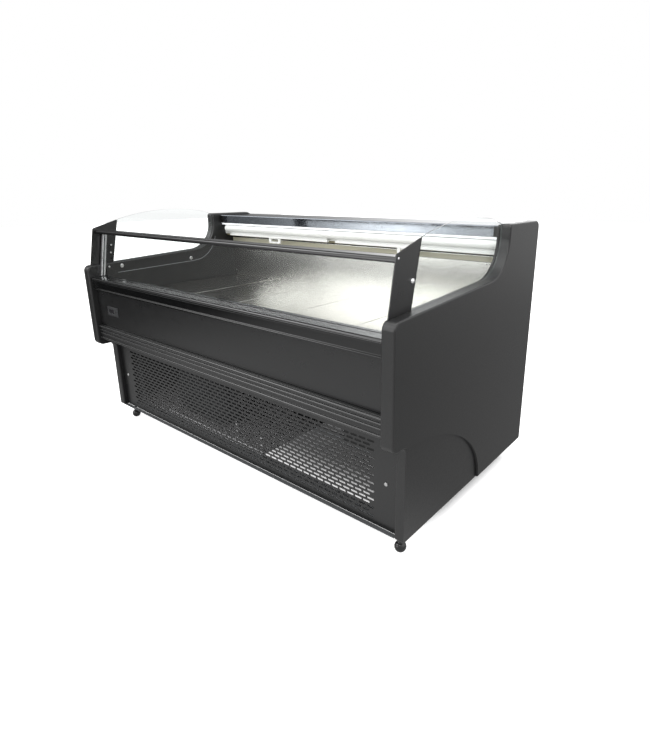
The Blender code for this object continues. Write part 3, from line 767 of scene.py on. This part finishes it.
def slotted_cell(sheet, x, z):
    """One rectangle of the sheet round one slot with chamfered corners."""
    half_x, half_z = SLOT_PITCH[0] / 2, SLOT_PITCH[1] / 2
    w, h = SLOT_SIZE[0] / 2, SLOT_SIZE[1] / 2
    a = w - h * SLOT_CHAMFER
    b = h - h * SLOT_CHAMFER
    outer = [(x - half_x, z - half_z), (x, z - half_z), (x + half_x, z - half_z),
             (x + half_x, z + half_z), (x, z + half_z), (x - half_x, z + half_z)]
    hole = [(x - a, z - h), (x, z - h), (x + a, z - h), (x + w, z - b), (x + w, z + b),
            (x + a, z + h), (x, z + h), (x - a, z + h), (x - w, z + b), (x - w, z - b)]
    sheet.face(outer[0], outer[1], hole[1], hole[0])
    sheet.face(outer[1], outer[2], hole[2], hole[1])
    sheet.face(outer[2], hole[3], hole[2])
    sheet.face(outer[2], outer[3], hole[4], hole[3])
    sheet.face(outer[3], hole[5], hole[4])
    sheet.face(outer[3], outer[4], hole[6], hole[5])
    sheet.face(outer[4], outer[5], hole[7], hole[6])
    sheet.face(outer[5], hole[8], hole[7])
    sheet.face(outer[5], outer[0], hole[9], hole[8])
    sheet.face(outer[0], hole[0], hole[9])


def slotted_sheet(low, high):
    """The grille's sheet, with every second row of slots shifted by half a pitch."""
    pitch_x, pitch_z = SLOT_PITCH
    right = SLOT_COLUMNS * pitch_x / 2
    left = -right
    bottom = LOWEST_SLOTS - pitch_z / 2
    top = bottom + SLOT_ROWS * pitch_z
    sheet = Sheet(high.y - SHEET / 2)
    halves = [left + step * pitch_x / 2 for step in range(2 * SLOT_COLUMNS + 1)]
    for row in range(SLOT_ROWS):
        z = bottom + row * pitch_z
        shifted = row % 2
        for column in range(SLOT_COLUMNS - shifted):
            slotted_cell(sheet, left + (column + 0.5 + shifted / 2) * pitch_x, z + pitch_z / 2)
        ends = [(low.x, left), (right, high.x)]
        if shifted:
            ends += [(left, left + pitch_x / 2), (right - pitch_x / 2, right)]
        for first, last in ends:
            sheet.face((first, z), (last, z), (last, z + pitch_z), (first, z + pitch_z))
    for first, last in ((low.z + SHEET, bottom), (top, high.z)):
        columns = [low.x] + halves + [high.x]
        for x, after in zip(columns, columns[1:]):
            sheet.face((x, first), (after, first), (after, last), (x, last))
    bmesh.ops.recalc_face_normals(sheet.mesh, faces=sheet.mesh.faces)
    return sheet.mesh


def kick_grille():
    """A steel sheet with staggered slots, whose bottom edge is bent forwards into a narrow flange painted
    lighter than the sheet, as painted light on its top face.
    """
    low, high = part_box("front_grille")
    grille = linked_object("perforated_grille", slotted_sheet(low, high), SATIN)
    thick = grille.modifiers.new("Thickness", "SOLIDIFY")
    thick.thickness = SHEET
    thick.offset = 0.0
    apply_modifiers(grille)
    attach(grille, "grille")
    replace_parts(grille, "front_grille")
    back = u_of(high.y) - SHEET - SHADOW_LINE
    # The flange's lighter grey is painted light on its upward face.
    flange = Solid().box((low.x, high.x), (u_of(low.y), back), (low.z, low.z + SHEET))
    soften(flange.piece("grille_flange", FLANGE_PAINTED_LIGHT, "grille", "painted_black"), 0.0005)


# Feet

BALL_CUT = 60
COLLAR_TOP = 0.0465
THREAD_TURNS = 34
THREAD_CHAMFER = 0.001


def levelling_foot(row, label):
    """A moulded ball with a flat underside, a small collar and a threaded stem."""
    node = f"levelling_foot_{row}_{label}"
    low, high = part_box(node)
    centre = ((low.x + high.x) / 2, (low.y + high.y) / 2, 0)
    radius = (high.x - low.x) / 2
    middle = radius * math.sin(math.radians(BALL_CUT))
    ball = arc((0, middle), radius, -BALL_CUT, BALL_CUT, 24)
    collar = [(0.0098, 2 * middle + 0.002), (0.0095, COLLAR_TOP - 0.001), (0.0085, COLLAR_TOP)]
    thread = [(0.0048, COLLAR_TOP)]
    thread_start, thread_end = COLLAR_TOP + 0.0005, high.z - THREAD_CHAMFER
    pitch = (thread_end - thread_start) / THREAD_TURNS
    for turn in range(THREAD_TURNS):
        z = thread_start + turn * pitch
        thread += [(0.0050, z), (0.0044, z + pitch / 2)]
    tip = [(0.0048, thread_end), (0.0038, high.z), (0, high.z)]
    foot = Solid().turned([(0, 0)] + ball + collar + thread + tip, centre, "Z", 36)
    foot = foot.piece(f"foot_{row}_{label}", FOOT_BLACK, f"foot_{row}_{label}", "rubber", 50)
    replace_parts(foot, node)


# Night blinds

CASSETTE_RADIUS = 0.018
FABRIC_FOOT = 0.9700
FABRIC_MARGIN = 0.004
FABRIC_HALF = 0.0003
FABRIC_ROWS = 40
SLEEVE_HALF = 0.011
BAND_HEIGHTS = (0.9200, 0.9425)
BAND_LINE_HEIGHTS = (0.9180, 0.9198)
WALL_SCREWS = ((0.80, 0.910), (-0.88, 0.740))
WALL_SCREW_HEAD = (0.0040, 0.0020)
CANOPY_CAP_WIDTH = 0.035
CANOPY_CAP_FOOT = 1.034


def blind_sheet(label):
    """The fabric from the roller down to the pull bar."""
    bar_low, bar_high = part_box(f"blind_pull_bar_{label}")
    roll_low, roll_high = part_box(f"blind_roller_{label}")
    u = u_of((roll_low.y + roll_high.y) / 2)
    top = roll_low.z + 0.002
    ends = (bar_low.x + FABRIC_MARGIN, bar_high.x - FABRIC_MARGIN)
    heights = [top + (FABRIC_FOOT - top) * step / FABRIC_ROWS for step in range(FABRIC_ROWS + 1)]
    mesh = bmesh.new()
    near, far = [[[mesh.verts.new((x, FRONT + u + offset, z)) for x in ends] for z in heights]
                 for offset in (-FABRIC_HALF, FABRIC_HALF)]
    for step in range(FABRIC_ROWS):
        mesh.faces.new((near[step][0], near[step][1], near[step + 1][1], near[step + 1][0]))
        mesh.faces.new((far[step][0], far[step + 1][0], far[step + 1][1], far[step][1]))
        mesh.faces.new((near[step][0], near[step + 1][0], far[step + 1][0], far[step][0]))
        mesh.faces.new((near[step][1], far[step][1], far[step + 1][1], near[step + 1][1]))
    mesh.faces.new((near[0][0], far[0][0], far[0][1], near[0][1]))
    mesh.faces.new((near[-1][0], near[-1][1], far[-1][1], far[-1][0]))
    bmesh.ops.recalc_face_normals(mesh, faces=mesh.faces)
    made = linked_object(f"blind_fabric_{label}", mesh, FABRIC)
    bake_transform(made)


def cassette_details():
    """Fine ribs along each cassette, disc caps at the ends and a sleeve over the joint."""
    spans = []
    for label, side in SIDES:
        low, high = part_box(f"blind_cassette_{label}")
        axis = (u_of((low.y + high.y) / 2), high.z - CASSETTE_RADIUS)
        spans += [low.x, high.x]
        ribs = Solid()
        for degrees in range(-20, 221, 20):
            rib = arc(axis, CASSETTE_RADIUS + 0.0005, degrees - 2, degrees + 2, 2)
            rib += arc(axis, CASSETTE_RADIUS - 0.0001, degrees + 2, degrees - 2, 2)
            ribs.prism(rib, low.x + 0.001, high.x - 0.001)
        ribs.piece(f"cassette_ribs_{label}", WHITE, "root", "white")
        end = high.x if side > 0 else low.x
        disc = arc(axis, CASSETTE_RADIUS + 0.0008, 0, 354, 59)
        cap = Solid().prism(disc, *sorted((end, end + side * 0.004)))
        soften(cap.piece(f"cassette_cap_{label}", WHITE, "root", "white"), 0.0006)
    middle = (spans[1] + spans[2]) / 2
    ring = arc(axis, CASSETTE_RADIUS + 0.0014, -70, 250, 40)
    ring += arc(axis, CASSETTE_RADIUS + 0.0001, 250, -70, 40)
    sleeve = Solid().prism(ring, middle - SLEEVE_HALF, middle + SLEEVE_HALF)
    soften(sleeve.piece("cassette_sleeve", WHITE, "root", "white"), 0.0004)


def wall_top_band():
    """The band under the blinds with the thin line below it, and the small screws of the wall."""
    low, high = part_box("rear_wall_liner")
    face = u_of(high.y) - 0.002
    span = (low.x + 0.002, high.x - 0.002)
    Solid().box(span, (face - 0.0012, face), BAND_HEIGHTS).piece("wall_band", BAND, "root", "olive")
    Solid().box(span, (face - 0.0020, face), BAND_LINE_HEIGHTS).piece("band_edge", GREY, "root", "olive")
    for number, (x, z) in enumerate(WALL_SCREWS, 1):
        dome((x, face, z), -1, WALL_SCREW_HEAD, f"wall_screw_{number}", SATIN_STEEL, "Y")


def canopy_end_cap(label, side):
    """A dark cap over each end of the canopy's front."""
    low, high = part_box("canopy_cover")
    front = u_of(low.y)
    span = mirrored(side, high.x - CANOPY_CAP_WIDTH, high.x)
    cap = Solid().box(span, (front - 0.0015, front), (CANOPY_CAP_FOOT, high.z - 0.003))
    soften(cap.piece(f"canopy_end_cap_{label}", SATIN, "root", "painted_black"), 0.0006)


# Air discharge

FINS = 9
FIRST_FIN = 0.8560
FIN_PITCH = 0.0113
FIN_THICKNESS = 0.0012
FIN_HEIGHT = 0.0085
GRID_TOP = 0.9600
SLOPE = 0.22
SLOPE_SPAN = (0.8525, 0.902)
SLOPE_DROP = 0.0110


def discharge_grid():
    """Long fins in the honeycomb's place, each lower than the one in front of it on the sloping part."""
    low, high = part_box("air_discharge_honeycomb")
    grid = Solid()
    for fin in range(FINS):
        u = FIRST_FIN + fin * FIN_PITCH
        z = GRID_TOP - ((u - SLOPE_SPAN[0]) * SLOPE if u < SLOPE_SPAN[1] else SLOPE_DROP)
        back, top = u + FIN_THICKNESS, z + FIN_HEIGHT
        grid.prism([(u, z), (back, z), (back, top), (u, top)], low.x, high.x)
    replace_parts(grid.piece("discharge_grid", OLIVE, "root", "olive"), "air_discharge_honeycomb")


# Controller

LENS_SPAN = (-0.0355, 0.0095)
LENS_HALF_HEIGHT = 0.0105
LENS_CORNER = 0.002


def controller_face():
    """The display's dark lens in the bezel's window."""
    low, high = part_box("controller_bezel")
    middle_x, middle_z = (low.x + high.x) / 2, (low.z + high.z) / 2
    face = u_of(low.y)
    left, right = [middle_x + offset for offset in LENS_SPAN]
    bottom, top = middle_z - LENS_HALF_HEIGHT, middle_z + LENS_HALF_HEIGHT
    outline = [(a, b, LENS_CORNER) for a, b in ((left, bottom), (right, bottom), (right, top), (left, top))]
    lens = Solid().prism(rounded(outline, 4), face + 0.0002, face + 0.0007, "Y")
    soften(lens.piece("display_lens", LENS, "root", "gloss_black"), 0.0002)


# Stage


def maths(tree, operation, first, second):
    """A Math node whose inputs are numbers or other nodes' outputs."""
    made = tree.nodes.new("ShaderNodeMath")
    made.operation = operation
    for slot, value in zip(made.inputs, (first, second)):
        if isinstance(value, (int, float)):
            slot.default_value = value
        else:
            tree.links.new(value, slot)
    return made.outputs[0]


def dot(tree, vector, toward):
    made = tree.nodes.new("ShaderNodeVectorMath")
    made.operation = "DOT_PRODUCT"
    tree.links.new(vector, made.inputs[0])
    made.inputs[1].default_value = toward
    return made.outputs["Value"]


def distance_from(tree, vector, point):
    made = tree.nodes.new("ShaderNodeVectorMath")
    made.operation = "DISTANCE"
    tree.links.new(vector, made.inputs[0])
    made.inputs[1].default_value = point
    return made.outputs["Value"]


def step_between(tree, value, dark, lit):
    """0 at one value and 1 at the other, eased and clamped."""
    made = tree.nodes.new("ShaderNodeMapRange")
    made.interpolation_type = "SMOOTHSTEP"
    made.inputs["From Min"].default_value = dark
    made.inputs["From Max"].default_value = lit
    tree.links.new(value, made.inputs["Value"])
    return made.outputs["Result"]


# (direction, tightness, strength) of each soft source that the case reflects
SOURCES = (
    ((-0.403, -0.905, 0.14), 90.0, 3.0),
    ((-0.525, -0.840, 0.14), 90.0, 3.0),
    ((-0.680, -0.720, 0.14), 60.0, 1.0),
    ((-0.42, -0.90, 0.05), 14.0, 0.5),
    ((-0.566, -0.822, -0.059), 220.0, 3.2),
    ((-0.70, -0.48, 0.52), 45.0, 8.0),
    ((-0.41, 0.88, 0.30), 40.0, 3.0),
    ((0.25, 0.2, 1.0), 1.6, 1.1),
    ((0.85, 0.6, 0.15), 3.0, 0.7),
    ((-0.2, 1.0, 0.2), 3.0, 0.5),
)
SHADE = 0.02
FRONT_FILL = 0.75
SHADE_SIDE = Vector((-1, 1, 0)).normalized()
ACROSS = (1.0, 0.0, 0.0)
ALONG = (0.0, 1.0, 0.0)
FLOOR_GLOW = 0.8
FLOOR_SHADE = 0.015
FLOOR_FADE = (5.0, 7.0)
PATCH_LIGHT = 0.72
RIGHT_LIGHT = 0.36
CAMERA_ANGLES = (39.201, 16.269, -0.324)
CAMERA_PLACE = (1.7065, FRONT - 1.1128, 1.2075)
CAMERA_LENS = 24.20
CAMERA_SHIFT = (-0.0366, -0.0480)


def world():
    """White to the camera. Reflections see a lit front right, a dark back left and the soft sources."""
    made = bpy.data.worlds.new("studio")
    bpy.context.scene.world = made
    made.use_nodes = True
    tree = made.node_tree
    tree.nodes.clear()
    direction = tree.nodes.new("ShaderNodeTexCoord").outputs["Generated"]
    toward_shade = dot(tree, direction, SHADE_SIDE)
    total = maths(tree, "MULTIPLY", step_between(tree, toward_shade, 0.10, -0.08), FRONT_FILL)
    total = maths(tree, "ADD", total, SHADE)
    for toward, tight, strength in SOURCES:
        near = maths(tree, "MAXIMUM", dot(tree, direction, Vector(toward).normalized()), 0.0)
        lobe = maths(tree, "MULTIPLY", maths(tree, "POWER", near, tight), strength)
        total = maths(tree, "ADD", total, lobe)
    seen = tree.nodes.new("ShaderNodeLightPath").outputs["Is Camera Ray"]
    hidden = maths(tree, "MULTIPLY", total, maths(tree, "SUBTRACT", 1.0, seen))
    background = tree.nodes.new("ShaderNodeBackground")
    background.inputs["Color"].default_value = (1.0, 1.0, 1.0, 1.0)
    tree.links.new(maths(tree, "ADD", hidden, seen), background.inputs["Strength"])
    output = tree.nodes.new("ShaderNodeOutputWorld")
    tree.links.new(background.outputs["Background"], output.inputs["Surface"])


def floor_glow_with_painted_shade(tree, place):
    """What the camera sees glowing: all of the floor but the part under the case, where taking the glow out
    from the front edge inwards paints shade.
    """
    aside = maths(tree, "ABSOLUTE", dot(tree, place, ACROSS), 0.0)
    depth = dot(tree, place, ALONG)
    # Painted shade: under is the box below the case where the floor's glow fades out from the front edge
    # inwards.
    under = step_between(tree, aside, 0.96, 0.85)
    under = maths(tree, "MULTIPLY", under, step_between(tree, depth, FRONT + 0.2, FRONT + 0.5))
    under = maths(tree, "MULTIPLY", under, step_between(tree, depth, FRONT + 1.06, FRONT + 0.95))
    return maths(tree, "MULTIPLY", maths(tree, "SUBTRACT", 1.0, under), FLOOR_GLOW)


def reflected_floor(tree, place):
    """What reflections see: a lit patch in front of the case and a fainter one on its right."""
    depth = dot(tree, place, ALONG)
    patch = step_between(tree, distance_from(tree, place, (0.3, FRONT - 1.1, 0.0)), 3.6, 1.4)
    patch = maths(tree, "MULTIPLY", patch, step_between(tree, depth, FRONT + 0.7, FRONT - 0.4))
    right = step_between(tree, dot(tree, place, ACROSS), -1.5, 1.2)
    total = maths(tree, "MULTIPLY", patch, PATCH_LIGHT)
    total = maths(tree, "ADD", total, maths(tree, "MULTIPLY", right, RIGHT_LIGHT))
    return maths(tree, "ADD", total, FLOOR_SHADE)


def mixed(look, share, first, second):
    made = look.node("ShaderNodeMixShader")
    look.link(share, made.inputs["Fac"])
    look.link(first, made.inputs[1])
    look.link(second, made.inputs[2])
    return made.outputs["Shader"]


def floor():
    """A plain pale floor with the case's soft shadow, deepened by painted shade where its glow is taken out
    under the case. Reflections see it fade out far away.
    """
    look = Look("floor", (0.80, 0.80, 0.80), 0.9)
    look.set("Emission Color", (1.0, 1.0, 1.0, 1.0))
    tree = look.tree
    place = look.node("ShaderNodeNewGeometry").outputs["Position"]
    look.link(floor_glow_with_painted_shade(tree, place), look.shader.inputs["Emission Strength"])
    reflected = look.node("ShaderNodeEmission")
    look.link(reflected_floor(tree, place), reflected.inputs["Strength"])
    far = step_between(tree, distance_from(tree, place, (0.0, 0.0, 0.0)), *FLOOR_FADE)
    clear = look.node("ShaderNodeBsdfTransparent").outputs["BSDF"]
    beyond = mixed(look, far, reflected.outputs["Emission"], clear)
    seen = look.node("ShaderNodeLightPath").outputs["Is Camera Ray"]
    shown = mixed(look, seen, beyond, look.shader.outputs["BSDF"])
    look.link(shown, tree.nodes["Material Output"].inputs["Surface"])
    bpy.ops.mesh.primitive_plane_add(size=40)
    plane = bpy.context.active_object
    plane.name = "floor"
    plane.location.z = CAD_BOX[0].z - 0.0005
    plane.data.materials.append(look.material)


def area_light(name, place, target, size, power):
    data = bpy.data.lights.new(name, "AREA")
    data.shape = "RECTANGLE"
    data.size, data.size_y = size
    data.energy = power
    lamp = bpy.data.objects.new(name, data)
    lamp.location = place
    lamp.rotation_euler = (Vector(target) - Vector(place)).to_track_quat("-Z", "Y").to_euler()
    bpy.context.scene.collection.objects.link(lamp)


def camera():
    """Off the case's right front corner and a little above it, with the lens shifted as the view needs."""
    azimuth, elevation, roll = [math.radians(angle) for angle in CAMERA_ANGLES]
    right = Vector((math.cos(azimuth), math.sin(azimuth), 0))
    forward = Vector((-math.sin(azimuth) * math.cos(elevation), math.cos(azimuth) * math.cos(elevation),
                      -math.sin(elevation)))
    up = right.cross(forward)
    across = right * math.cos(roll) + up * math.sin(roll)
    upright = up * math.cos(roll) - right * math.sin(roll)
    data = bpy.data.cameras.new("camera")
    data.sensor_width = 36.0
    data.lens = CAMERA_LENS
    data.shift_x, data.shift_y = CAMERA_SHIFT
    data.clip_start = 0.05
    made = bpy.data.objects.new("camera", data)
    turn = Matrix((across, upright, -forward)).transposed().to_4x4()
    made.matrix_world = Matrix.Translation(CAMERA_PLACE) @ turn
    bpy.context.scene.collection.objects.link(made)
    bpy.context.scene.camera = made


def build():
    finish_frame()
    for label, side in SIDES:
        end_panel(label, side)
        side_glass(label)
        glass_fixings(label, side)
        liner_bead(label, side)
        blind_sheet(label)
        canopy_end_cap(label, side)
        for row in ("front", "rear"):
            levelling_foot(row, label)
    kick_grille()
    cassette_details()
    wall_top_band()
    discharge_grid()
    controller_face()
    world()
    floor()
    area_light("overhead", (0.3, -0.5, 3.2), (0, 0, 0.7), (2.6, 1.4), 30)
    area_light("key", (1.6, -2.2, 2.3), (0.3, 0.3, 0.9), (0.9, 0.9), 18)
    camera()
    bpy.context.scene.view_settings.view_transform = "Standard"


build()
